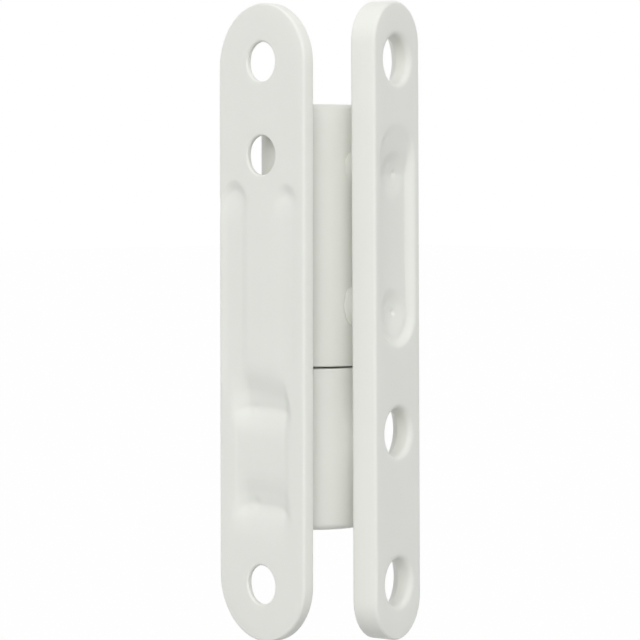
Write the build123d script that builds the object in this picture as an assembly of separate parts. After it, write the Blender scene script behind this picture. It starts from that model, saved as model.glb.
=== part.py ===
from build123d import *
import os
from math import radians, sin, sqrt, tan

# Renovation hinge, lift-off, in millimetres.
# The origin is midway between the frame leaf's two outer screw holes, on its wood face.
# X runs across the frame leaf, Y points from the wood face towards the barrel, Z is up.

# Both leaves
leaf_length = 88.0
outer_hole_inset = 8.0            # from each end of a leaf to the centre of its outer hole
wall_share = 0.45                 # most of a wall that one of two facing rounds may take

# Frame leaf, which carries the lower barrel
frame_leaf_width = 17.0
frame_leaf_thickness = 2.0
frame_leaf_round = 0.85
frame_hole_diameter = 5.6
frame_hole_round = 0.45           # pressed-in edge of each hole on the wood face
frame_countersink_depth = 1.2
frame_middle_hole_drop = 12.8     # below the top hole
frame_standoff = 1.0              # from the leaf's back to the barrel

# Door leaf, which carries the upper barrel
door_leaf_width = 11.5
door_leaf_thickness = 4.0
door_leaf_round = 0.55
door_hole_diameter = 6.2
door_hole_round = 0.75
door_countersink_depth = 1.75
door_middle_hole_rise = 20.8      # above the bottom hole
door_standoff = 2.15              # from the leaf's back to the barrel
door_leaf_rise = 0.3              # the door leaf sits this much higher
door_leaf_angle = 102.3           # turn from the frame leaf's side of the barrel

# Barrels
barrel_diameter = 15.0
barrel_end_round = 1.0
barrel_joint_round = 0.3
lower_barrel_length = 22.4
lower_barrel_top = -6.15
lower_end_wall = 5.4              # solid metal under the pin
upper_barrel_length = 36.1
upper_end_wall = 5.8              # solid metal over the tip of the bore
barrel_gap = 0.25

# Pin and thrust ball
pin_diameter = 8.0
pin_end_chamfer = 0.9
pin_clearance = 0.05              # all round, in the upper barrel
drill_point_angle = 118.0         # of the bore's conical end
ball_play = 1.05                  # between the ball and the bore, all round
ball_clearance = 0.05             # from the ball to the pin and to the bore's cone

# Stiffening beads of the frame leaf
bead_inset = 3.3                  # from the leaf's edge to the middle of a bead
bead_width = 3.5
bead_depth = 0.5
bead_top_drop = 3.7               # below the middle hole
bead_overrun = 0.4                # past the root of the upper ridge

# Weld ridges of the frame leaf, seen as two valleys on its wood face
ridge_inset = 4.2                 # from each end of the lower barrel to a root
ridge_drop = 0.55                 # both roots sit this much lower
ridge_side_land = 3.2             # flat left beside a ridge
upper_ridge_rise = 5.4            # from the root up to the flat of the leaf
upper_ridge_fall = 3.5
lower_ridge_rise = 3.5
lower_ridge_fall = 3.6
ridge_pad_depth = 0.12            # sunk pad between the two valleys

# Pocket and weld dimples of the door leaf
pocket_end_inset = 2.7            # from each end of the upper barrel
pocket_side_land = 1.15           # flat left beside the pocket
pocket_depth = 1.15
pocket_wall_lean = 1.0            # how far the wall leans in over its depth
pocket_floor_round = 0.5
pocket_mouth_round = 0.5
dimple_inset = 5.75               # from each end of the pocket
dimple_drop = 0.6                 # both dimples sit this much lower than the middle of the pocket asks
dimple_mouth = 4.6
dimple_floor = 1.4
dimple_depth = 1.0
dimple_boss = 3.6                 # diameter of the boss behind each dimple

# Weld metal
weld_bite = 0.1                   # the ridges and bosses have settled this far onto the barrels
door_weld_diameter = 6.2
frame_weld_diameter = 5.0

cutter_margin = 1.0               # how far a cutting shape stands out of the metal

# Heights and distances that follow from the sizes above
barrel_radius = barrel_diameter / 2
axis_depth = frame_leaf_thickness + frame_standoff + barrel_radius
door_axis_distance = door_leaf_thickness + door_standoff + barrel_radius
lower_barrel_bottom = lower_barrel_top - lower_barrel_length
upper_barrel_bottom = lower_barrel_top + barrel_gap
upper_barrel_top = upper_barrel_bottom + upper_barrel_length
bore_radius = pin_diameter / 2 + pin_clearance
ball_radius = bore_radius - ball_play
bore_tip = upper_barrel_top - upper_end_wall
ball_height = bore_tip - (ball_radius + ball_clearance) / sin(radians(drill_point_angle / 2))
pin_top = ball_height - ball_radius - ball_clearance
pin_bottom = lower_barrel_bottom + lower_end_wall

outer_hole = leaf_length / 2 - outer_hole_inset
frame_middle_hole = outer_hole - frame_middle_hole_drop
door_middle_hole = door_middle_hole_rise - outer_hole
frame_hole_heights = (outer_hole, frame_middle_hole, -outer_hole)
door_hole_heights = (outer_hole, door_middle_hole, -outer_hole)

upper_root = lower_barrel_top - ridge_inset - ridge_drop
lower_root = lower_barrel_bottom + ridge_inset - ridge_drop
ridge_width = frame_leaf_width - 2 * ridge_side_land
bead_top = frame_middle_hole - bead_top_drop
bead_bottom = upper_root - bead_overrun
bead_offset = frame_leaf_width / 2 - bead_inset

pocket_middle = (upper_barrel_bottom + upper_barrel_top) / 2 - door_leaf_rise
pocket_length = upper_barrel_length - 2 * pocket_end_inset
pocket_width = door_leaf_width - 2 * pocket_side_land
dimple_reach = pocket_length / 2 - dimple_inset
boss_base = door_leaf_thickness + pocket_depth

barrel_axis = Pos(0, axis_depth, 0)
door_barrel_axis = Pos(0, door_axis_distance, 0)
door_place = barrel_axis * Rot(0, 0, door_leaf_angle) * Pos(0, -door_axis_distance, door_leaf_rise)


def leaf_plane(depth):
    """Plane parallel to the wood face, at a depth behind it, with its own Y axis up."""
    return Plane(origin=(0, depth, 0), x_dir=(1, 0, 0), z_dir=(0, -1, 0))


def barrel_envelope():
    """Round bar of the barrel's diameter, longer than the leaves, which shapes what is welded to it."""
    return Cylinder(barrel_radius, 2 * leaf_length)


def leaf_blank(width, thickness, edge_round):
    """Flat bar with fully round ends and softened edges, its wood face at Y = 0."""
    outline = leaf_plane(0) * SlotOverall(leaf_length, width, rotation=90)
    bar = extrude(outline, -thickness)
    rims = bar.edges().group_by(Axis.Y)
    return fillet(rims[0] + rims[-1], min(edge_round, wall_share * thickness))


def screw_hole(diameter, thickness, mouth_round, countersink_depth):
    """Solid that cuts one hole: rounded mouth on the wood face, 90 degree cone behind."""
    radius = diameter / 2
    head_radius = radius + countersink_depth
    cone_start = thickness - countersink_depth
    mouth_round = min(mouth_round, 2 * wall_share * cone_start)
    mouth_radius = radius + mouth_round
    front = -cutter_margin
    back = thickness + cutter_margin
    mouth = CenterArc((mouth_radius, mouth_round), mouth_round, 180, 90)
    inside = Polyline((radius, mouth_round), (radius, cone_start), (head_radius, thickness),
                      (head_radius, back), (0, back), (0, front), (mouth_radius, front), (mouth_radius, 0))
    return revolve(make_face([mouth, inside]), Axis.Y)


def screw_holes(heights, diameter, thickness, mouth_round, countersink_depth):
    """The cutting solids of one leaf, one for each height."""
    cutter = screw_hole(diameter, thickness, mouth_round, countersink_depth)
    return [Pos(0, 0, height) * cutter for height in heights]


def bead_rod(side, radius, centre_depth):
    """Rod with round ends, which presses one upright bead into the leaf."""
    straight = bead_top - bead_bottom - bead_width
    rod = Cylinder(radius, straight)
    rod += Pos(0, 0, straight / 2) * Sphere(radius)
    rod += Pos(0, 0, -straight / 2) * Sphere(radius)
    return Pos(side * bead_offset, centre_depth, (bead_top + bead_bottom) / 2) * rod


def ridge(root, rise, fall, depth):
    """One valley across the leaf: two arcs that leave the flat tangent and meet at the root."""
    top = (0, root + rise)
    bottom = (0, root - fall)
    deepest = (depth, root)
    upper = TangentArc(top, deepest, tangent=(0, -1))
    lower = TangentArc(bottom, deepest, tangent=(0, 1))
    profile = Plane.YZ * make_face([upper, lower, Line(bottom, top)])
    return extrude(profile, ridge_width / 2, both=True)


def weld_ridges(root_depth):
    """The two valleys and the pad between them, as solids that start at Y = 0."""
    upper = ridge(upper_root, upper_ridge_rise, upper_ridge_fall, root_depth)
    lower = ridge(lower_root, lower_ridge_rise, lower_ridge_fall, root_depth)
    pad = Pos(0, ridge_pad_depth / 2, (upper_root + lower_root) / 2)
    pad *= Box(ridge_width, ridge_pad_depth, upper_root - lower_root)
    return upper + lower + pad


def make_frame_leaf():
    """Thin leaf with two beads and two weld ridges pressed from the wood face towards the barrel."""
    leaf = leaf_blank(frame_leaf_width, frame_leaf_thickness, frame_leaf_round)
    bead_radius = (bead_width**2 / 4 + bead_depth**2) / (2 * bead_depth)
    bead_centre = bead_depth - bead_radius
    root_depth = frame_standoff + weld_bite
    leaf += Pos(0, frame_leaf_thickness, 0) * weld_ridges(root_depth)
    leaf -= barrel_axis * barrel_envelope()
    rib_room = Pos(0, frame_leaf_thickness + bead_depth / 2, 0)
    rib_room *= Box(frame_leaf_width - 2 * frame_leaf_round, bead_depth, leaf_length)
    for side in (-1, 1):
        leaf += bead_rod(side, bead_radius + frame_leaf_thickness, bead_centre) & rib_room
    leaf -= weld_ridges(root_depth)
    for side in (-1, 1):
        leaf -= bead_rod(side, bead_radius, bead_centre)
    return leaf - screw_holes(frame_hole_heights, frame_hole_diameter, frame_leaf_thickness,
                              frame_hole_round, frame_countersink_depth)


def pocket_form(start):
    """Stadium with leaning walls and a rounded floor, which starts at a depth behind the wood face."""
    mouth = leaf_plane(start) * SlotOverall(pocket_length, pocket_width, rotation=90)
    floor = leaf_plane(start + pocket_depth)
    floor *= SlotOverall(pocket_length - 2 * pocket_wall_lean, pocket_width - 2 * pocket_wall_lean, rotation=90)
    form = loft([mouth.face(), floor.face()], ruled=True)
    form = fillet(form.edges().group_by(Axis.Y)[-1], pocket_floor_round)
    return Pos(0, 0, pocket_middle) * form


def dimple_spots():
    """Places of the two weld dimples along the pocket."""
    return [Pos(0, 0, pocket_middle - dimple_drop + side * dimple_reach) for side in (-1, 1)]


def dimple_form():
    """Round pit with a leaning wall in the pocket's floor."""
    mouth = leaf_plane(pocket_depth) * Circle(dimple_mouth / 2)
    floor = leaf_plane(pocket_depth + dimple_depth) * Circle(dimple_floor / 2)
    return loft([mouth.face(), floor.face()], ruled=True)


def make_door_leaf():
    """Thick narrow leaf with a pocket pressed towards the barrel and two weld dimples in it."""
    blank = leaf_blank(door_leaf_width, door_leaf_thickness, door_leaf_round)
    blank += pocket_form(door_leaf_thickness)
    leaf = blank - pocket_form(0)
    leaf = fillet(new_edges(blank, combined=leaf).group_by(Axis.Y)[0], pocket_mouth_round)
    boss_height = door_standoff - pocket_depth + weld_bite
    boss = extrude(leaf_plane(boss_base) * Circle(dimple_boss / 2), -boss_height)
    for spot in dimple_spots():
        leaf += spot * boss
        leaf -= spot * dimple_form()
    leaf -= screw_holes(door_hole_heights, door_hole_diameter, door_leaf_thickness,
                        door_hole_round, door_countersink_depth)
    return leaf - door_barrel_axis * barrel_envelope()


def barrel_blank(bottom, length, round_top):
    """Turned barrel on the hinge axis with one well rounded end and one that meets its mate."""
    barrel = Pos(0, 0, bottom + length / 2) * Cylinder(barrel_radius, length)
    outer, joint = (-1, 0) if round_top else (0, -1)
    barrel = fillet(barrel.edges().filter_by(GeomType.CIRCLE).sort_by(Axis.Z)[outer], barrel_end_round)
    return fillet(barrel.edges().filter_by(GeomType.CIRCLE).sort_by(Axis.Z)[joint], barrel_joint_round)


def make_lower_barrel():
    """Barrel of the frame half, with a blind bore that the pin is pressed into."""
    barrel = barrel_blank(lower_barrel_bottom, lower_barrel_length, False)
    depth = lower_barrel_top - pin_bottom
    seat = Pos(0, 0, lower_barrel_top - depth / 2) * Cylinder(pin_diameter / 2, depth)
    return barrel_axis * (barrel - seat)


def make_upper_barrel():
    """Barrel of the door half, bored from below over the pin and the ball to a drill's point."""
    barrel = barrel_blank(upper_barrel_bottom, upper_barrel_length, True)
    mouth = upper_barrel_bottom - cutter_margin
    cone_start = bore_tip - bore_radius / tan(radians(drill_point_angle / 2))
    section = Polyline((0, mouth), (bore_radius, mouth), (bore_radius, cone_start), (0, bore_tip), close=True)
    bore = revolve(Plane.XZ * make_face(section), Axis.Z)
    return barrel_axis * (barrel - bore)


def make_hinge_pin():
    """Pin pressed into the lower barrel, chamfered at both ends."""
    pin = Pos(0, 0, (pin_bottom + pin_top) / 2) * Cylinder(pin_diameter / 2, pin_top - pin_bottom)
    ends = pin.edges().filter_by(GeomType.CIRCLE)
    return barrel_axis * chamfer(ends, pin_end_chamfer)


def make_thrust_ball():
    """Ball between the pin's end and the cone of the upper barrel's bore."""
    return barrel_axis * Pos(0, 0, ball_height) * Sphere(ball_radius)


def make_door_weld(spot):
    """Collar of weld metal round one boss, shaped by the barrel behind it."""
    reach = door_axis_distance - sqrt(barrel_radius**2 - door_weld_diameter**2 / 4) - boss_base
    ring = Circle(door_weld_diameter / 2) - Circle(dimple_boss / 2)
    collar = spot * extrude(leaf_plane(boss_base) * ring, -reach)
    return door_place * (collar - door_barrel_axis * barrel_envelope())


def make_frame_weld(height, leaf):
    """Weld metal round the place where one ridge touches the lower barrel."""
    reach = axis_depth - sqrt(barrel_radius**2 - frame_weld_diameter**2 / 4) - frame_leaf_thickness
    disc = extrude(leaf_plane(frame_leaf_thickness) * Circle(frame_weld_diameter / 2), -reach)
    return Pos(0, 0, height) * disc - barrel_axis * barrel_envelope() - leaf


def save(name, shape):
    """Write one piece to its own file."""
    export_step(shape, os.path.join("parts", name + ".step"))


os.makedirs("parts", exist_ok=True)
frame_leaf = make_frame_leaf()
lower_spot, upper_spot = dimple_spots()
save("frame_leaf", frame_leaf)
save("lower_barrel", make_lower_barrel())
save("hinge_pin", make_hinge_pin())
save("upper_frame_weld", make_frame_weld(upper_root, frame_leaf))
save("lower_frame_weld", make_frame_weld(lower_root, frame_leaf))
save("thrust_ball", make_thrust_ball())
save("door_leaf", door_place * make_door_leaf())
save("upper_barrel", make_upper_barrel())
save("upper_door_weld", make_door_weld(upper_spot))
save("lower_door_weld", make_door_weld(lower_spot))
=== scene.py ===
import math
import bmesh
import bpy
import numpy as np
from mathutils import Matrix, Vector


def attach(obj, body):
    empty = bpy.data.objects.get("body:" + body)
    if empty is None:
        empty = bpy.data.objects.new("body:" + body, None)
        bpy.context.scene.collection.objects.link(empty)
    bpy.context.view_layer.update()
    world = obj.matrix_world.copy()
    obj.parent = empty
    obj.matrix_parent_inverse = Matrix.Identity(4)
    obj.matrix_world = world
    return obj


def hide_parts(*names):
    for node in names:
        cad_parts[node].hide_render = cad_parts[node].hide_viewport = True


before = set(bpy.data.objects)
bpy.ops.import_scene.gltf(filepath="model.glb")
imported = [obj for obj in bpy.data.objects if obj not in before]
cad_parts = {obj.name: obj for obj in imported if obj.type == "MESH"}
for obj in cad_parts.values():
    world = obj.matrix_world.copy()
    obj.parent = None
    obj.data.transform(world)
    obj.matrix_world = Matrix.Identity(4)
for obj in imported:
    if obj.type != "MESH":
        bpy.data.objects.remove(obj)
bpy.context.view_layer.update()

print("frame loaded, nodes:", len(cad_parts))

perMetre = 1000.0            # millimetres in a metre
mergeReach = 0.000002        # metres: points of meeting sheets that are closer than this become one
quarterSteps = 8             # points along a quarter round
eighthSteps = 5              # points along an eighth of a turn
upright = Vector((0, 0, 1))

# sizes that more than one piece shares, in millimetres
hinge = {
    "axisY": 10.5,            # barrel axis behind the frame leaf's wood face
    "barrelRadius": 7.5,
    "doorAxis": 13.65,        # barrel axis behind the door leaf's wood face
    "doorTurn": 102.3,        # degrees about the barrel axis
    "doorRise": 0.3,
    "leanFrom": 8.0,          # height at which the door leaf keeps its distance
    "doorLean": 0.0062,       # the door leaf stands out a little at its foot, by this much a millimetre
    "sunk": 0.06,             # a leaf's back stops this far inside the barrel
}

# soft unevenness: count of waves, their shortest length and its spread as shares of the pitch,
# and a full turn in radians
waves = {"count": 6, "shortest": 0.6, "spread": 0.9, "turn": 6.283}


def ramp(low, high, x):
    # smooth step: 0 before low, 1 past high, 3t2 - 2t3 between them; low may be above high
    t = np.clip((x - low) / (high - low), 0.0, 1.0)
    return t * t * (3.0 - 2.0 * t)


def bump(x, z, atX, atZ, wide, tall):
    # bell: height times e to the minus squared distance over width squared
    return tall * np.exp(-((x - atX) ** 2 + (z - atZ) ** 2) / wide ** 2)


def ripple(a, b, seed, pitch):
    # within about -1 to 1: mean of six sine waves, each with a seeded direction, length and phase
    pick = np.random.default_rng(seed)
    total = np.zeros(np.broadcast(a, b).shape)
    full = waves["turn"]
    for turn, stretch, phase in pick.uniform(0.0, 1.0, (waves["count"], 3)):
        wave = 2.0 * math.pi / (pitch * (waves["shortest"] + waves["spread"] * stretch))
        total += np.sin(wave * (a * math.cos(full * turn) + b * math.sin(full * turn)) + full * phase)
    return total / waves["count"]


def steps(start, stop, cell):
    return np.linspace(start, stop, max(2, round(abs(stop - start) / cell)) + 1)


def barrelDepth(axis, x):
    # near side of the barrel behind a wood face: axis minus the root of radius squared less x squared
    return axis - np.sqrt(np.maximum(hinge["barrelRadius"] ** 2 - x ** 2, 0.0))


def doorPlace(points):
    # door leaf's own axes to the part's: barrel axis shifted to the middle, turned about it, shifted back
    turn = math.radians(hinge["doorTurn"])
    x = points[..., 0]
    y = points[..., 1] - hinge["doorAxis"] + hinge["doorLean"] * (points[..., 2] - hinge["leanFrom"])
    return np.stack([x * math.cos(turn) - y * math.sin(turn),
                     x * math.sin(turn) + y * math.cos(turn) + hinge["axisY"],
                     points[..., 2] + hinge["doorRise"]], axis=-1)


def addPiece(name, sheets, material, body, node, place=None):
    # each sheet is rows x columns x 3 in millimetres; the merge joins borders that meet and closes the poles
    points, quads, start = [], [], 0
    for sheet in sheets:
        rows, columns = sheet.shape[:2]
        index = start + np.arange(rows * columns).reshape(rows, columns)
        corners = [index[:-1, :-1], index[:-1, 1:], index[1:, 1:], index[1:, :-1]]
        quads.append(np.stack(corners, axis=-1).reshape(-1, 4))
        points.append(sheet.reshape(-1, 3))
        start += rows * columns
    points, quads = np.concatenate(points), np.concatenate(quads)
    if place is not None:
        points = place(points)
    mesh = bpy.data.meshes.new(name)
    mesh.vertices.add(len(points))
    mesh.vertices.foreach_set("co", (points / perMetre).ravel())
    mesh.loops.add(quads.size)
    mesh.loops.foreach_set("vertex_index", quads.ravel())
    mesh.polygons.add(len(quads))
    mesh.polygons.foreach_set("loop_start", np.arange(0, quads.size, 4))
    mesh.update(calc_edges=True)
    tidy = bmesh.new()
    tidy.from_mesh(mesh)
    bmesh.ops.remove_doubles(tidy, verts=tidy.verts, dist=mergeReach)
    bmesh.ops.recalc_face_normals(tidy, faces=tidy.faces)
    tidy.to_mesh(mesh)
    tidy.free()
    mesh.shade_smooth()
    mesh.materials.append(material)
    piece = bpy.data.objects.new(name, mesh)
    bpy.context.scene.collection.objects.link(piece)
    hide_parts(node)
    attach(piece, body)
    print("made", name, "faces", len(mesh.polygons))


# materials

# part of a noise's values that is spread over the wanted range
noiseSpan = (0.22, 0.78)


def nodesOf(material):
    material.use_nodes = True
    tree = material.node_tree
    return tree, tree.nodes["Principled BSDF"]


def addNoise(tree, coords, scale, detail):
    noise = tree.nodes.new("ShaderNodeTexNoise")
    noise.inputs["Scale"].default_value = scale
    noise.inputs["Detail"].default_value = detail
    tree.links.new(coords, noise.inputs["Vector"])
    return noise.outputs["Fac"]


def addRange(tree, value, low, high):
    # smooth step from low to high as the value goes through noiseSpan
    node = tree.nodes.new("ShaderNodeMapRange")
    node.interpolation_type = "SMOOTHERSTEP"
    for socket, number in zip(("From Min", "From Max", "To Min", "To Max"), (*noiseSpan, low, high)):
        node.inputs[socket].default_value = number
    tree.links.new(value, node.inputs["Value"])
    return node.outputs["Result"]


def addMath(tree, operation, *values):
    # one sum in the tree: each value is a number or another node's output
    node = tree.nodes.new("ShaderNodeMath")
    node.operation = operation
    for index, value in enumerate(values):
        if isinstance(value, (int, float)):
            node.inputs[index].default_value = value
        else:
            tree.links.new(value, node.inputs[index])
    return node.outputs[0]


def addBump(tree, height, distance, before=None):
    # bump of a height in metres, laid over an earlier one if there is one
    node = tree.nodes.new("ShaderNodeBump")
    node.inputs["Strength"].default_value = 1.0
    node.inputs["Distance"].default_value = distance
    tree.links.new(height, node.inputs["Height"])
    if before is not None:
        tree.links.new(before, node.inputs["Normal"])
    return node.outputs["Normal"]


def addColour(tree, shader, look, value):
    # base colour between the look's deep and light tones, by a noise
    mix = tree.nodes.new("ShaderNodeMix")
    mix.data_type = "RGBA"
    mix.inputs["A"].default_value = look["deep"]
    mix.inputs["B"].default_value = look["light"]
    tree.links.new(addRange(tree, value, 0.0, 1.0), mix.inputs["Factor"])
    tree.links.new(mix.outputs["Result"], shader.inputs["Base Color"])


# powder paint: off-white, a little warm, with a fine orange peel and faint clouds in colour and gloss
paintLook = {
    "light": (0.872, 0.880, 0.832, 1.0),
    "deep": (0.856, 0.864, 0.814, 1.0),
    "cloudScale": 60.0, "cloudDetail": 3.0,
    "glossScale": 138.0, "glossDetail": 2.0,
    "peelScale": 620.0, "peelDetail": 1.5, "peelHeight": 0.0000045,
    "grainScale": 3200.0, "grainDetail": 2.0, "grainHeight": 0.0000006,
    "roughness": (0.285, 0.35),
    "refraction": 1.5,
    "shine": 0.42,
}


def makePaint():
    paint = bpy.data.materials.new("offWhitePaint")
    tree, shader = nodesOf(paint)
    coords = tree.nodes.new("ShaderNodeTexCoord").outputs["Object"]
    clouds, gloss, peel, grain = (addNoise(tree, coords, paintLook[key + "Scale"], paintLook[key + "Detail"])
                                  for key in ("cloud", "gloss", "peel", "grain"))
    addColour(tree, shader, paintLook, clouds)
    tree.links.new(addRange(tree, gloss, *paintLook["roughness"]), shader.inputs["Roughness"])
    normal = addBump(tree, peel, paintLook["peelHeight"])
    tree.links.new(addBump(tree, grain, paintLook["grainHeight"], normal), shader.inputs["Normal"])
    shader.inputs["IOR"].default_value = paintLook["refraction"]
    shader.inputs["Specular IOR Level"].default_value = paintLook["shine"]
    return paint


# ground pin: fine rings from the grinding wheel, with an oily film in patches
pinLook = {
    "light": (0.66, 0.65, 0.63, 1.0),
    "deep": (0.50, 0.49, 0.47, 1.0),
    "ringScale": 5200.0,
    "ringHeight": 0.0000008,
    "roughness": (0.20, 0.36),
}

# polished ball of bearing steel, with faint rolling marks
ballLook = {
    "light": (0.78, 0.78, 0.79, 1.0),
    "deep": (0.68, 0.68, 0.70, 1.0),
    "ringScale": 900.0,
    "ringHeight": 0.0000002,
    "roughness": (0.06, 0.14),
}

# both steels: the rings are noise drawn out round the axis, the film is plain noise
steelLook = {"stretch": (0.04, 0.04, 1.0), "ringDetail": 2.0, "filmScale": 260.0, "filmDetail": 3.0}


def makeSteel(name, look):
    steel = bpy.data.materials.new(name)
    tree, shader = nodesOf(steel)
    coords = tree.nodes.new("ShaderNodeTexCoord").outputs["Object"]
    flat = tree.nodes.new("ShaderNodeMapping")
    flat.inputs["Scale"].default_value = steelLook["stretch"]
    tree.links.new(coords, flat.inputs["Vector"])
    rings = addNoise(tree, flat.outputs["Vector"], look["ringScale"], steelLook["ringDetail"])
    film = addNoise(tree, coords, steelLook["filmScale"], steelLook["filmDetail"])
    addColour(tree, shader, look, film)
    tree.links.new(addRange(tree, film, *look["roughness"]), shader.inputs["Roughness"])
    tree.links.new(addBump(tree, rings, look["ringHeight"]), shader.inputs["Normal"])
    shader.inputs["Metallic"].default_value = 1.0
    return steel


paint = makePaint()
pinSteel = makeSteel("groundSteel", pinLook)
ballSteel = makeSteel("polishedSteel", ballLook)
print("materials made")


# leaves

def flatHalf(leaf):
    # half the width of a broad face, inside the rounded edge
    return leaf["width"] / 2 - leaf["edgeRound"]


def capHeight(leaf):
    # height of the middle of the round top end
    return (leaf["length"] - leaf["width"]) / 2


def coneKink(leaf):
    # how far the rounding of a 45 degree corner reaches along each side: its radius times tan 22.5
    return leaf["coneRound"] * math.tan(math.pi / 8)


def borderLoop(half, low, high, cell, cap):
    # closed border of one region of a leaf: up the left side, over the top, down the right side,
    # back along the bottom; a round end is half * cos a, middle + half * sin a
    left = np.stack([np.full_like(steps(low, high, cell), -half), steps(low, high, cell)], axis=1)
    right = left[::-1] * (-1, 1)
    line = steps(-half, half, cell)
    angle = steps(math.pi, 0.0, cell / half)
    over = np.stack([line, np.full_like(line, high)], axis=1)
    under = np.stack([line[::-1], np.full_like(line, low)], axis=1)
    if cap == "top":
        over = np.stack([half * np.cos(angle), high + half * np.sin(angle)], axis=1)
    if cap == "bottom":
        under = np.stack([half * np.cos(angle[::-1]), low - half * np.sin(angle[::-1])], axis=1)
    return np.concatenate([left[:-1], over[:-1], right[:-1], under])


def spokes(border, low, high):
    # for each border point: the nearest point on the upright middle line from low to high,
    # and the way out from it, their difference over its length
    middle = np.stack([np.zeros(len(border)), np.clip(border[:, 1], low, high)], axis=1)
    away = border - middle
    return middle, away / np.linalg.norm(away, axis=1, keepdims=True)


def leafRegions(leaf):
    # a leaf is cut across into regions, each with one opening or none: (low, high, cap, opening)
    marks = [capHeight(leaf), *leaf["cuts"], -capHeight(leaf)]
    caps = ["top"] + [""] * (len(marks) - 3) + ["bottom"]
    return [(low, high, cap, opening)
            for high, low, cap, opening in zip(marks[:-1], marks[1:], caps, leaf["openings"])]


def leafFace(leaf, relief, base, holeRadius):
    # one broad face: rings round each hole, loops into the pocket, plain grids between;
    # depth = base + relief(x, z)
    half = flatHalf(leaf)
    flats = []
    for low, high, cap, opening in leafRegions(leaf):
        border = borderLoop(half, low, high, leaf["cell"], cap)
        if opening is None:
            grid = np.meshgrid(steps(-half, half, leaf["cell"]), steps(low, high, leaf["cell"]))
            flats.append(np.stack(grid, axis=-1))
            continue
        if opening == "pocket":
            middle, way = spokes(border, leaf["pocketLow"], leaf["pocketHigh"])
            mouth, wall = leaf["pocketRadius"], leaf["pocketWall"]
            wallRings, floorRings = leaf["pocketRings"]
            inner = mouth - np.concatenate([np.linspace(0, wall, wallRings),
                                            np.linspace(wall, mouth, floorRings)[1:]])
            flats.append(middle + way * inner[:, None, None])
        else:
            middle, way = spokes(border, opening, opening)
            mouth = holeRadius
        start = middle + way * mouth
        count = max(2, round((half - mouth) / leaf["cell"]))
        part = np.linspace(0.0, 1.0, count + 1)[:, None, None]
        flats.append(start * (1 - part) + border * part)
    return [np.stack([flat[..., 0], base + relief(flat[..., 0], flat[..., 1]), flat[..., 1]], axis=-1)
            for flat in flats]


def leafRim(leaf, front, back):
    # band round the outline: quarter round, straight side, quarter round, pushed out along the outline's
    # own normal; the faces' reliefs are shared out by depth over thickness
    half, capZ = flatHalf(leaf), capHeight(leaf)
    regions = leafRegions(leaf)[::-1]
    side = np.concatenate([steps(low, high, leaf["cell"])[:-1] for low, high, _, _ in regions] + [[capZ]])
    angle = steps(math.pi, 0.0, leaf["cell"] / half)
    left = np.stack([np.full_like(side, -half), side], axis=1)
    right = left[::-1] * (-1, 1)
    over = np.stack([half * np.cos(angle), capZ + half * np.sin(angle)], axis=1)
    under = over[::-1] * (1, -1)
    loop = np.concatenate([left[:-1], over[:-1], right[:-1], under])
    _, way = spokes(loop, -capZ, capZ)
    turn = np.linspace(0.0, math.pi / 2, quarterSteps)
    tight, thick = leaf["edgeRound"], leaf["thickness"]
    out = np.concatenate([tight * np.sin(turn), tight * np.sin(turn[::-1])])
    depth = np.concatenate([tight * (1 - np.cos(turn)), thick - tight * (1 - np.cos(turn[::-1]))])
    share = (depth / thick)[:, None]
    x, z = loop[:, 0], loop[:, 1]
    y = depth[:, None] + (1 - share) * front(x, z) + share * back(x, z)
    ring = loop[None] + way[None] * out[:, None, None]
    return np.stack([ring[..., 0], y, ring[..., 1]], axis=-1)


def holeWall(leaf, region, front, back):
    # wall of one screw hole: round into the bore, straight, a cone for the screw's head, a soft outer edge
    low, high, cap, centre = region
    _, way = spokes(borderLoop(flatHalf(leaf), low, high, leaf["cell"], cap), centre, centre)
    radius, mouth, sink, thick = leaf["holeRadius"], leaf["holeRound"], leaf["countersink"], leaf["thickness"]
    turn = np.linspace(0.0, math.pi / 2, quarterSteps)
    bend = np.linspace(0.0, math.pi / 4, eighthSteps)
    soft, kink = leaf["coneRound"], coneKink(leaf)
    wide = np.concatenate([radius + mouth * (1 - np.sin(turn)),
                           radius + soft * (1 - np.cos(bend)),
                           radius + sink + kink - soft * np.sin(bend[::-1])])
    deep = np.concatenate([mouth * (1 - np.cos(turn)),
                           thick - sink - kink + soft * np.sin(bend),
                           thick - soft * (1 - np.cos(bend[::-1]))])
    share = (deep / thick)[:, None]
    ends = [middle * way + (0, centre) for middle in (radius + mouth, radius + sink + kink)]
    y = deep[:, None] + (1 - share) * front(*ends[0].T) + share * back(*ends[1].T)
    ring = way[None] * wide[:, None, None] + (0, centre)
    return np.stack([ring[..., 0], y, ring[..., 1]], axis=-1)


def makeLeaf(name, leaf, front, back, body, node, place=None):
    sheets = leafFace(leaf, front, 0.0, leaf["holeRadius"] + leaf["holeRound"])
    coneRadius = leaf["holeRadius"] + leaf["countersink"] + coneKink(leaf)
    sheets += leafFace(leaf, back, leaf["thickness"], coneRadius)
    sheets.append(leafRim(leaf, front, back))
    for region in leafRegions(leaf):
        if isinstance(region[3], float):
            sheets.append(holeWall(leaf, region, front, back))
    addPiece(name, sheets, paint, body, node, place)


def edgeRoll(leaf, x, z):
    # the sheet sinks towards its cut edge: depth times (1 - distance from the edge / reach) squared
    inset = leaf["width"] / 2 - np.hypot(x, np.maximum(np.abs(z) - capHeight(leaf), 0.0))
    return leaf["rollDepth"] * np.clip(1.0 - inset / leaf["rollReach"], 0.0, 1.0) ** 2


def addSway(depth, leaf, x, z):
    # a faint unevenness of the face: depth + height + height times the ripple
    high, seed, pitch = leaf["sway"]
    return depth + high + high * ripple(x, z, seed, pitch)


def addMarks(depth, leaf, x, z):
    # a bell for each small mark
    for atX, atZ, wide, tall in leaf["marks"]:
        depth = depth + bump(x, z, atX, atZ, wide, tall)
    return depth


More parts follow.
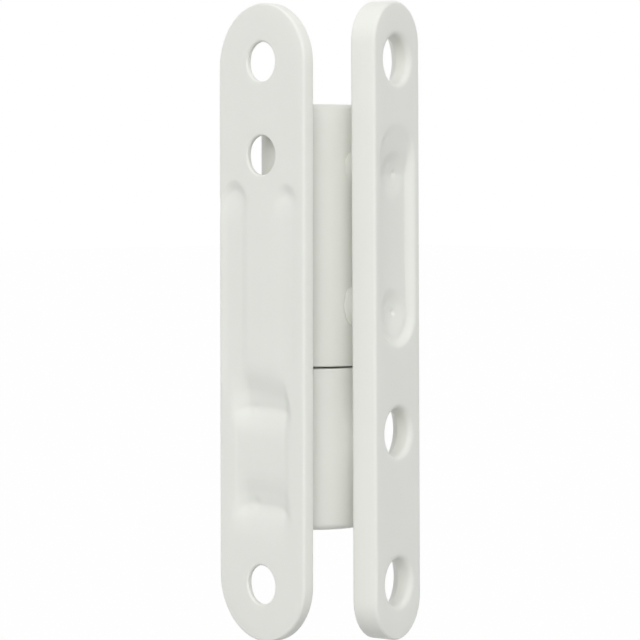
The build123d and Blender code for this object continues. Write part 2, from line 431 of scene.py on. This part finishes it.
# frame leaf: thin pressed sheet with two beads, two cross valleys and a sunk pad between them
frameLeaf = {
    "length": 88.0, "width": 17.0, "thickness": 2.0, "edgeRound": 0.42,
    "holeRadius": 2.7, "holeRound": 0.32, "countersink": 1.35, "coneRound": 0.2,
    "cuts": (29.6, 16.8, -29.6), "openings": (36.0, 23.2, None, -36.1),
    "cell": 0.212,
    "beadX": (-5.4, 5.0), "beadHalf": (2.05, 1.6), "beadTop": (19.05, 18.65),
    "beadDepth": (0.15, 0.07), "beadEnd": (0.40, 0.40),      # along the bead, and added at its top end
    "beadWall": 1.4, "beadFall": 0.9,
    "beadArch": 0.25,                                # drop of the top ends per squared distance sideways
    "beadShift": 0.3,                                # the top ends are deepest this far left of the middle
    "beadFade": (-12.0, -6.0),                       # heights between which the beads come up from nothing
    "padDepth": 0.10, "padSide": (4.6, 5.6), "padTop": (-10.5, -14.0), "padFoot": (-27.0, -23.0),
    "rollReach": 3.0, "rollDepth": 0.12, "rollEnds": (33.0, 41.0),     # the roll is on the ends only
    "sway": (0.012, 4, 14.0),                        # height, seed, pitch
    # nibs in the paint (below nought) and small dents: place, width, depth
    "marks": ((0.65, 41.9, 0.22, -0.030), (-0.13, -42.4, 0.25, -0.035), (7.4, -40.1, 0.25, -0.03),
              (-6.1, 28.3, 0.2, -0.015), (-1.7, -24.9, 0.7, 0.17), (4.2, -25.8, 0.5, 0.10),
              (-1.9, -11.6, 0.5, 0.08), (4.2, -12.0, 0.5, 0.06)),
    "left": (-6.5, -2.8), "right": (6.3, 4.1),       # the valleys fade out between these, from the middle
    "valleyTilt": 0.055,                             # deeper to the left, by this share a millimetre
    "droopAt": 5.0,                                  # the droop is reached this far from the middle
    "slantOver": (0.5, 2.5),                         # heights over the root between which the slant sets in
    "endHeight": (0.55, 0.45),                       # share of the height at the faded ends, and the rest
    "backShare": 1.35,                               # the back's valleys are deeper by this factor
    # root height, droop of the root at the sides, slant of the upper slope, strength,
    # and the section: height over the root, depth
    "valleys": (
        (-11.50, 0.60, 0.12, 1.18,
         ((6.4, 0.0), (5.5, 0.03), (4.6, 0.11), (3.8, 0.24), (3.0, 0.41), (2.1, 0.60), (1.5, 0.68),
          (0.7, 0.75), (0.1, 0.82), (-0.1, 0.82), (-0.5, 0.74), (-1.1, 0.54), (-1.7, 0.36),
          (-2.4, 0.20), (-3.1, 0.09), (-3.9, 0.02), (-4.9, 0.0))),
        (-25.0, 0.85, 0.0, 1.35,
         ((4.7, 0.0), (3.6, 0.05), (2.7, 0.15), (1.8, 0.29), (1.0, 0.38), (0.6, 0.44), (0.1, 0.52),
          (-0.1, 0.53), (-0.6, 0.48), (-1.1, 0.39), (-1.5, 0.31), (-1.9, 0.24), (-2.7, 0.14),
          (-3.5, 0.07), (-4.3, 0.02), (-5.1, 0.0))),
    ),
}

# table of a valley's section: half its height and its count of points;
# bell that smooths it: its points to each side, and its reach
sectionTable = {"half": 12.0, "count": 481, "bellHalf": 6, "bellReach": 2.5}


def sectionDepth(points, rise):
    # depth of a valley at a height over its root: the section's points, joined and then smoothed with a
    # narrow bell, e to the minus square
    fine = np.linspace(-sectionTable["half"], sectionTable["half"], sectionTable["count"])
    heights, depths = np.array(points)[::-1].T
    table = np.interp(fine, heights, depths)
    side, reach = sectionTable["bellHalf"], sectionTable["bellReach"]
    bell = np.exp(-np.linspace(-reach, reach, 2 * side + 1) ** 2)
    table = np.convolve(np.pad(table, side, mode="edge"), bell / bell.sum(), mode="valid")
    return np.interp(rise, fine, table)


def beadForm(x, z):
    # channels: smooth step across plus a bell that deepens the top, times a smooth step at the arched top
    depth = np.zeros(np.shape(x))
    wall, fall = frameLeaf["beadWall"] / 2, frameLeaf["beadFall"]
    columns = (frameLeaf[key] for key in ("beadX", "beadHalf", "beadTop", "beadDepth", "beadEnd"))
    for centre, half, top, low, more in zip(*columns):
        past = z - top + frameLeaf["beadArch"] * (x - centre) ** 2
        channel = low * ramp(half + wall, half - wall, np.abs(x - centre))
        deepest = centre - frameLeaf["beadShift"]
        channel = channel + bump(x, np.minimum(past + fall, 0.0), deepest, 0.0, half, more)
        depth += channel * ramp(fall, -fall, past)
    return depth * ramp(*frameLeaf["beadFade"], z)


def valleyForm(x, z):
    # sections laid along drooping roots: strength times tilt times the ends' smooth steps times the section;
    # the height shrinks towards the ends too, and a shallow pad lies between
    ends = ramp(*frameLeaf["left"], x) * ramp(*frameLeaf["right"], x)
    near, far = frameLeaf["padSide"]
    pad = frameLeaf["padDepth"] * ramp(far, near, np.abs(x))
    depth = pad * ramp(*frameLeaf["padTop"], z) * ramp(*frameLeaf["padFoot"], z)
    tilt = 1.0 - frameLeaf["valleyTilt"] * x
    least, rest = frameLeaf["endHeight"]
    for root, droop, slant, strength, points in frameLeaf["valleys"]:
        rise = z - root + droop * (x / frameLeaf["droopAt"]) ** 4
        rise = rise + slant * x * ramp(*frameLeaf["slantOver"], rise)
        depth = depth + strength * tilt * ends * sectionDepth(points, rise / (least + rest * ends))
    return depth


def frameFront(x, z):
    # root of the sum of the squares of beads and valleys, the ends rolled off, an unevenness and small marks
    depth = np.hypot(beadForm(x, z), valleyForm(x, z))
    depth = depth + edgeRoll(frameLeaf, x, z) * ramp(*frameLeaf["rollEnds"], np.abs(z))
    return np.maximum(addMarks(addSway(depth, frameLeaf, x, z), frameLeaf, x, z), 0.0)


def frameBack(x, z):
    # the same root with the valleys a third deeper, stopped where it meets the barrel
    pressed = np.hypot(beadForm(x, z), frameLeaf["backShare"] * valleyForm(x, z))
    return np.minimum(pressed, barrelDepth(hinge["axisY"], x) - frameLeaf["thickness"] + hinge["sunk"])


makeLeaf("frameLeaf", frameLeaf, frameFront, frameBack, "frame_half", "frame_leaf")


# door leaf: thick narrow bar with a long pocket pressed towards the barrel and two weld dimples
doorLeaf = {
    "length": 88.0, "width": 11.7, "thickness": 4.0, "edgeRound": 0.42,
    "holeRadius": 3.2, "holeRound": 0.85, "countersink": 1.75, "coneRound": 0.25,
    "cuts": (29.9, -7.6, -22.8, -28.9), "openings": (36.0, "pocket", -15.2, None, -36.0),
    "cell": 0.22,
    "pocketLow": 1.1, "pocketHigh": 22.9,            # ends of the pocket's middle line
    "pocketRadius": 4.75, "pocketWall": 1.35, "pocketDepth": 1.15,
    "pocketRings": (11, 18),                         # loops of points down its wall and over its floor
    "floorRise": (20.3, 27.9), "floorPower": 1.25,   # the floor runs out upwards between these heights
    "floorLow": (9.0, -4.0, 0.70),                   # from the first height to the second it falls to a share
    "dimples": ((20.7, 0.46), (1.75, 0.60)),         # height and depth of each
    "dimpleAcross": -0.2, "dimpleFlat": 0.25,
    "dimpleReach": (2.9, 3.7, 4.2, 3.1),             # left, right, below and above its middle
    # small dents at the right of the dimples: place, width, depth
    "marks": ((1.15, 20.4, 0.32, 0.30), (0.8, 1.25, 0.32, 0.42), (0.0, 1.6, 0.25, 0.22)),
    "bossRadius": (2.0, 1.6), "bossHeight": 1.05,
    "rollReach": 1.6, "rollDepth": 0.06,
    "sway": (0.01, 9, 11.0),                         # height, seed, pitch
}


def pocketForm(x, z):
    # smooth step of the distance in from the pocket's mouth, a stadium round its middle line;
    # the floor rises upwards by a power of the height left, and downwards to a share
    past = z - np.clip(z, doorLeaf["pocketLow"], doorLeaf["pocketHigh"])
    inward = doorLeaf["pocketRadius"] - np.hypot(x, past)
    depth = doorLeaf["pocketDepth"] * ramp(0.0, doorLeaf["pocketWall"], inward)
    low, high = doorLeaf["floorRise"]
    deep, shallow, share = doorLeaf["floorLow"]
    depth = depth * np.clip((high - z) / (high - low), 0.0, 1.0) ** doorLeaf["floorPower"]
    return depth * (share + (1.0 - share) * ramp(shallow, deep, z))


def dimpleForm(x, z):
    # bowls: smooth step of the share of the way out to the rim, whose reach differs from side to side
    depth = np.zeros(np.shape(x))
    left, right, below, above = doorLeaf["dimpleReach"]
    for centre, deep in doorLeaf["dimples"]:
        across, rise = x - doorLeaf["dimpleAcross"], z - centre
        away = np.hypot(across / np.where(across < 0.0, left, right),
                        rise / np.where(rise < 0.0, below, above))
        depth += deep * ramp(1.0, doorLeaf["dimpleFlat"], away)
    return depth


def doorFront(x, z):
    # sum of the pocket, the dimples in its floor, the edge roll, small dents and a faint unevenness
    depth = pocketForm(x, z) + dimpleForm(x, z) + edgeRoll(doorLeaf, x, z)
    return np.maximum(addSway(addMarks(depth, doorLeaf, x, z), doorLeaf, x, z), 0.0)


def doorBack(x, z):
    # bulge behind the pocket, with a boss behind each dimple, stopped where it meets the barrel
    bulge = pocketForm(x, z)
    wide, narrow = doorLeaf["bossRadius"]
    for centre, _ in doorLeaf["dimples"]:
        bulge = bulge + doorLeaf["bossHeight"] * ramp(wide, narrow, np.hypot(x, z - centre))
    return np.minimum(bulge, barrelDepth(hinge["doorAxis"], x) - doorLeaf["thickness"] + hinge["sunk"])


makeLeaf("doorLeaf", doorLeaf, doorFront, doorBack, "door_half", "door_leaf", doorPlace)
print("leaves made")


# barrels, pin and ball: each is a section of (radius, height) points, turned about the barrel axis

# points round, and the paint's sway on the barrels: share of the radius, seed, pitch, skew of the pattern
lathe = {"around": 256, "ballAround": 128, "quickShare": 4,
         "sway": 0.0012, "seed": 21, "pitch": 13.0, "skew": 0.3}


def arc(centreR, centreZ, radius, start, stop, count=9):
    # points along part of a circle in the plane of radius and height, by angle in degrees
    angle = np.radians(np.linspace(start, stop, count))
    return np.stack([centreR + radius * np.cos(angle), centreZ + radius * np.sin(angle)], axis=1)


def line(startR, startZ, stopR, stopZ, count=2):
    # evenly spaced points along a straight line in that plane
    return np.stack([np.linspace(startR, stopR, count), np.linspace(startZ, stopZ, count)], axis=1)


def turned(parts, around=lathe["around"], sway=0.0):
    # section turned about the barrel axis: x = r cos a, y = axis + r sin a, z = height;
    # r sways a little if painted
    section = np.concatenate(parts)
    angle = np.linspace(0.0, 2.0 * math.pi, around + 1)
    radius = section[:, :1] * np.ones_like(angle)
    height = section[:, 1:] * np.ones_like(angle)
    x, y = radius * np.cos(angle), radius * np.sin(angle)
    slim = 1.0 - sway * (0.5 + 0.5 * ripple(x + lathe["skew"] * y, height, lathe["seed"], lathe["pitch"]))
    return np.stack([x * slim, hinge["axisY"] + y * slim, height], axis=-1)


lowerBarrel = {"radius": 7.5, "bottom": -28.55, "top": -6.15, "endRound": 1.0, "jointRound": 0.35,
               "bore": 4.0, "boreBevel": 0.3, "seat": -23.15}


def lowerBarrelSection(barrel):
    # from the bottom's middle out and up the wall, in over the joint face, down the pin's bore to its floor
    r, low, top = barrel["radius"], barrel["bottom"], barrel["top"]
    end, joint = barrel["endRound"], barrel["jointRound"]
    bore, bevel, seat = barrel["bore"], barrel["boreBevel"], barrel["seat"]
    return [line(0.0, low, r - end, low, count=5), arc(r - end, low + end, end, -90, 0),
            line(r, low + end, r, top - joint, count=60), arc(r - joint, top - joint, joint, 0, 90),
            line(r - joint, top, bore + bevel, top, count=5), line(bore, top - bevel, bore, seat, count=5),
            line(bore, seat, 0.0, seat, count=3)]


lowerSheet = turned(lowerBarrelSection(lowerBarrel), sway=lathe["sway"])
addPiece("lowerBarrel", [lowerSheet], paint, "frame_half", "lower_barrel")

# the wall is drawn in towards its closed end, where the end's round sets in at an angle
upperBarrel = {"radius": 7.5, "bottom": -5.9, "top": 30.2, "endRound": 0.9, "jointRound": 0.32,
               "bore": 4.05, "boreBevel": 0.4, "cone": 21.966, "tip": 24.4,
               "drawIn": 0.14, "drawLength": 1.5, "drawLead": 0.4, "roundFrom": 12}


def upperBarrelSection(barrel):
    # from the bore's tip down its cone and wall, out over the joint face, up the wall, over the closed end;
    # the wall is drawn in by the square of the share of the way up
    r, low, top = barrel["radius"], barrel["bottom"], barrel["top"]
    end, joint = barrel["endRound"], barrel["jointRound"]
    bore, bevel, cone, tip = barrel["bore"], barrel["boreBevel"], barrel["cone"], barrel["tip"]
    part = np.linspace(0.0, 1.0, 9)
    slim, start = r - barrel["drawIn"], top - end - barrel["drawLength"]
    draw = np.stack([r - barrel["drawIn"] * part ** 2, start + barrel["drawLength"] * part], axis=1)
    return [line(0.0, tip, bore, cone, count=4), line(bore, cone, bore, low + bevel, count=12),
            line(bore + bevel, low, r - joint, low, count=5), arc(r - joint, low + joint, joint, -90, 0),
            line(r, low + joint, r, start - barrel["drawLead"], count=80), draw,
            arc(slim - end, top - end, end, barrel["roundFrom"], 90, count=10),
            line(slim - end, top, 0.0, top, count=6)]


upperSheet = turned(upperBarrelSection(upperBarrel), sway=lathe["sway"])
addPiece("upperBarrel", [upperSheet], paint, "door_half", "upper_barrel")

# the pin's corners are broken by a hair
hingePin = {"radius": 4.0, "bottom": -23.15, "top": 17.792, "chamfer": 0.9, "hair": 0.06}


def hingePinSection(pin):
    # straight pin with a chamfer at each end and a hair of bevel at each corner
    r, c, hair, low, top = pin["radius"], pin["chamfer"], pin["hair"], pin["bottom"], pin["top"]
    return [line(0.0, low, r - c, low, count=3), line(r - c + hair, low + hair, r - hair, low + c - hair),
            line(r, low + c + hair, r, top - c - hair, count=24),
            line(r - hair, top - c + hair, r - c + hair, top - hair), line(r - c, top, 0.0, top, count=3)]


addPiece("hingePin", [turned(hingePinSection(hingePin))], pinSteel, "frame_half", "hinge_pin")

thrustBall = {"radius": 3.0, "height": 20.842}
ballSection = arc(0.0, thrustBall["height"], thrustBall["radius"], -90, 90, count=65)
ballSheet = turned([ballSection], lathe["ballAround"])
addPiece("thrustBall", [ballSheet], ballSteel, "thrust_ball", "thrust_ball")
print("barrels, pin and ball made")


# weld metal squeezed out between leaf and barrel

# all welds: points round, loops over the flat and down the rim, the sways' shares and pitches in millimetres
pool = {
    "around": 97, "flatLoops": 22, "flatShare": 0.9, "rimLoops": 8, "rimShare": 0.1, "rimFrom": 0.35,
    "rimCircle": 2.0, "rimPitch": 2.6,
    "middle": (0.86, 0.52), "middleSway": 0.05, "middlePitch": 1.9, "middleSeed": 3,
    "lump": 0.16, "lumpPitch": 1.5, "lumpSeed": 7,
    "under": 0.12,
}


def weldBlob(weld, axis):
    # pool on the barrel in polar form: the rim's radius sways with the angle, and the height is a thin skirt,
    # root of 1 less part to the fourth, plus a smooth step to a taller middle, times an uneven lump
    seed = weld["seed"]
    turn = np.linspace(0.0, 2.0 * math.pi, pool["around"])
    flat = np.linspace(0.0, pool["flatShare"], pool["flatLoops"])
    rim = 1.0 - pool["rimShare"] * np.cos(np.linspace(pool["rimFrom"], math.pi / 2, pool["rimLoops"]))
    part = np.concatenate([flat, rim])[:, None]
    circle = pool["rimCircle"]
    reach = 1.0 + weld["sway"] * ripple(circle * np.cos(turn), circle * np.sin(turn), seed, pool["rimPitch"])
    across = weld["across"] * reach * np.cos(turn)
    up = weld["upward"] * reach * np.sin(turn) + weld["drop"] * np.sin(turn) ** 2
    x, z = part * across, part * up
    skirt = weld["skirt"] * np.sqrt(np.maximum(1.0 - part ** 4, 0.0))
    shift = pool["middleSway"] * ripple(x, z, seed + pool["middleSeed"], pool["middlePitch"])
    middle = weld["tall"] * ramp(*pool["middle"], part + shift)
    lump = 1.0 + pool["lump"] * ripple(x, z, seed + pool["lumpSeed"], pool["lumpPitch"])
    barrel = barrelDepth(axis, x)
    top = barrel - (skirt + middle) * lump
    under = np.broadcast_to(barrel + pool["under"] * (1.0 - part ** 2), top.shape)
    height = z + weld["height"]
    return [np.stack([x, top, height], axis=-1), np.stack([x, under, height], axis=-1)]


frameWelds = {
    "upper": {"node": "upper_frame_weld", "height": -10.9, "across": 2.45, "upward": 2.3, "drop": 0.1,
              "skirt": 0.22, "tall": 0.35, "sway": 0.10, "seed": 31},
    "lower": {"node": "lower_frame_weld", "height": -24.9, "across": 2.4, "upward": 2.35, "drop": -0.1,
              "skirt": 0.22, "tall": 0.35, "sway": 0.11, "seed": 47},
}
doorWelds = {
    "upper": {"node": "upper_door_weld", "height": 21.35, "across": 3.1, "upward": 2.75, "drop": 0.0,
              "skirt": 0.30, "tall": 0.62, "sway": 0.09, "seed": 12},
    "lower": {"node": "lower_door_weld", "height": 2.25, "across": 3.25, "upward": 3.45, "drop": -0.15,
              "skirt": 0.34, "tall": 0.62, "sway": 0.12, "seed": 25},
}
for which, weld in frameWelds.items():
    addPiece(which + "FrameWeld", weldBlob(weld, hinge["axisY"]), paint, "frame_half", weld["node"])
for which, weld in doorWelds.items():
    blob = weldBlob(weld, hinge["doorAxis"])
    addPiece(which + "DoorWeld", blob, paint, "door_half", weld["node"], doorPlace)
print("welds made")


# camera, floor and light

camera = {
    "azimuth": 45.39, "elevation": 3.04, "distance": 378.76, "lens": 151.875, "sensor": 36.0,
    "target": (0.0, 10.5, 0.13), "right": -0.68, "up": -0.07,      # millimetres
    "clip": (0.01, 20.0),                                          # metres
}
az, el = math.radians(camera["azimuth"]), math.radians(camera["elevation"])
toRight = Vector((math.cos(az), math.sin(az), 0.0))
toBack = Vector((math.sin(az) * math.cos(el), -math.cos(az) * math.cos(el), math.sin(el)))
toUp = toBack.cross(toRight)
lens = bpy.data.cameras.new("camera")
lens.sensor_width = camera["sensor"]
lens.lens = camera["lens"]
lens.clip_start, lens.clip_end = camera["clip"]
eye = bpy.data.objects.new("camera", lens)
bpy.context.scene.collection.objects.link(eye)
spot = Vector(camera["target"]) + camera["distance"] * toBack
eye.location = (spot - camera["right"] * toRight - camera["up"] * toUp) / perMetre
eye.rotation_mode = "QUATERNION"
eye.rotation_quaternion = toBack.to_track_quat("Z", "Y")
bpy.context.scene.camera = eye

studio = {
    "floorHeight": -0.075, "floorHalf": 2.5, "floorBounce": 0.40,
    "floorSeen": 0.95, "floorGlow": 0.97,            # the rest of the seen floor is lit, and keeps the shadow
    "level": 0.50,
    # soft patches of sky: degrees right of the camera's own way back, degrees up, tightness, strength
    "patches": ((0, 8, 25.0, 4.74), (0, 48, 5.0, 0.44), (-45, 8, 5.0, 0.68), (90, 8, 5.0, 0.50)),
    "keyFrom": (-0.10, 0.35, 1.0),                   # right, up, back
    "keyAway": 1.50, "keySize": 0.80, "keyPower": 0.75,
}


def addSeen(tree):
    # 1 where the camera, a reflection or a look through glass meets the background, otherwise 0
    path = tree.nodes.new("ShaderNodeLightPath")
    seen = addMath(tree, "MAXIMUM", path.outputs["Is Camera Ray"], path.outputs["Is Glossy Ray"])
    return addMath(tree, "MAXIMUM", seen, path.outputs["Is Transmission Ray"])


def makeFloor():
    # plain matt floor that bounces less light than it shows, and glows where it is seen
    half, height = studio["floorHalf"], studio["floorHeight"]
    corners = [(-half, -half, height), (half, -half, height), (half, half, height), (-half, half, height)]
    mesh = bpy.data.meshes.new("floor")
    mesh.from_pydata(corners, [], [(0, 1, 2, 3)])
    floor = bpy.data.objects.new("floor", mesh)
    bpy.context.scene.collection.objects.link(floor)
    look = bpy.data.materials.new("paleFloor")
    tree, shader = nodesOf(look)
    tree.nodes.remove(shader)
    seen = addSeen(tree)
    tone = tree.nodes.new("ShaderNodeMapRange")
    tone.inputs["To Min"].default_value = studio["floorBounce"]
    tone.inputs["To Max"].default_value = studio["floorSeen"]
    tree.links.new(seen, tone.inputs["Value"])
    matt = tree.nodes.new("ShaderNodeBsdfDiffuse")
    tree.links.new(tone.outputs["Result"], matt.inputs["Color"])
    glow = tree.nodes.new("ShaderNodeEmission")
    mix = tree.nodes.new("ShaderNodeMixShader")
    tree.links.new(addMath(tree, "MULTIPLY", seen, studio["floorGlow"]), mix.inputs["Fac"])
    tree.links.new(matt.outputs[0], mix.inputs[1])
    tree.links.new(glow.outputs[0], mix.inputs[2])
    tree.links.new(mix.outputs[0], tree.nodes["Material Output"].inputs["Surface"])
    mesh.materials.append(look)


def makeWorld():
    # even light plus soft patches, each strength times e to the tightness times (cosine - 1);
    # seen or mirrored it is white
    world = bpy.data.worlds.new("studio")
    bpy.context.scene.world = world
    world.use_nodes = True
    tree = world.node_tree
    coords = tree.nodes.new("ShaderNodeTexCoord").outputs["Generated"]
    flatBack = Vector((toBack.x, toBack.y, 0.0)).normalized()
    total = tree.nodes.new("ShaderNodeValue").outputs[0]
    total.default_value = studio["level"]
    for turn, rise, tight, strength in studio["patches"]:
        turn, rise = math.radians(turn), math.radians(rise)
        flatWay = math.sin(turn) * toRight + math.cos(turn) * flatBack
        cosine = tree.nodes.new("ShaderNodeVectorMath")
        cosine.operation = "DOT_PRODUCT"
        cosine.inputs[1].default_value = math.cos(rise) * flatWay + math.sin(rise) * upright
        tree.links.new(coords, cosine.inputs[0])
        power = addMath(tree, "MULTIPLY_ADD", cosine.outputs["Value"], tight, -tight)
        lobe = addMath(tree, "EXPONENT", power)
        total = addMath(tree, "MULTIPLY_ADD", lobe, strength, total)
    seen = addSeen(tree)
    mix = tree.nodes.new("ShaderNodeMix")
    mix.data_type = "FLOAT"
    mix.inputs["B"].default_value = 1.0
    tree.links.new(seen, mix.inputs["Factor"])
    tree.links.new(total, mix.inputs["A"])
    back = tree.nodes["Background"]
    back.inputs["Color"].default_value = (1.0, 1.0, 1.0, 1.0)
    tree.links.new(mix.outputs["Result"], back.inputs["Strength"])


def makeKey():
    # one large soft lamp, up at the camera's left
    right, up, back = studio["keyFrom"]
    way = (right * toRight + up * upright + back * toBack).normalized()
    lamp = bpy.data.lights.new("key", "AREA")
    lamp.shape = "DISK"
    lamp.size = studio["keySize"]
    lamp.energy = studio["keyPower"]
    stand = bpy.data.objects.new("key", lamp)
    bpy.context.scene.collection.objects.link(stand)
    stand.location = way * studio["keyAway"] + Vector((0.0, hinge["axisY"] / perMetre, 0.0))
    stand.rotation_mode = "QUATERNION"
    stand.rotation_quaternion = way.to_track_quat("Z", "Y")


makeFloor()
makeWorld()
makeKey()
bpy.context.scene.view_settings.view_transform = "Standard"
print("camera, floor and light made")
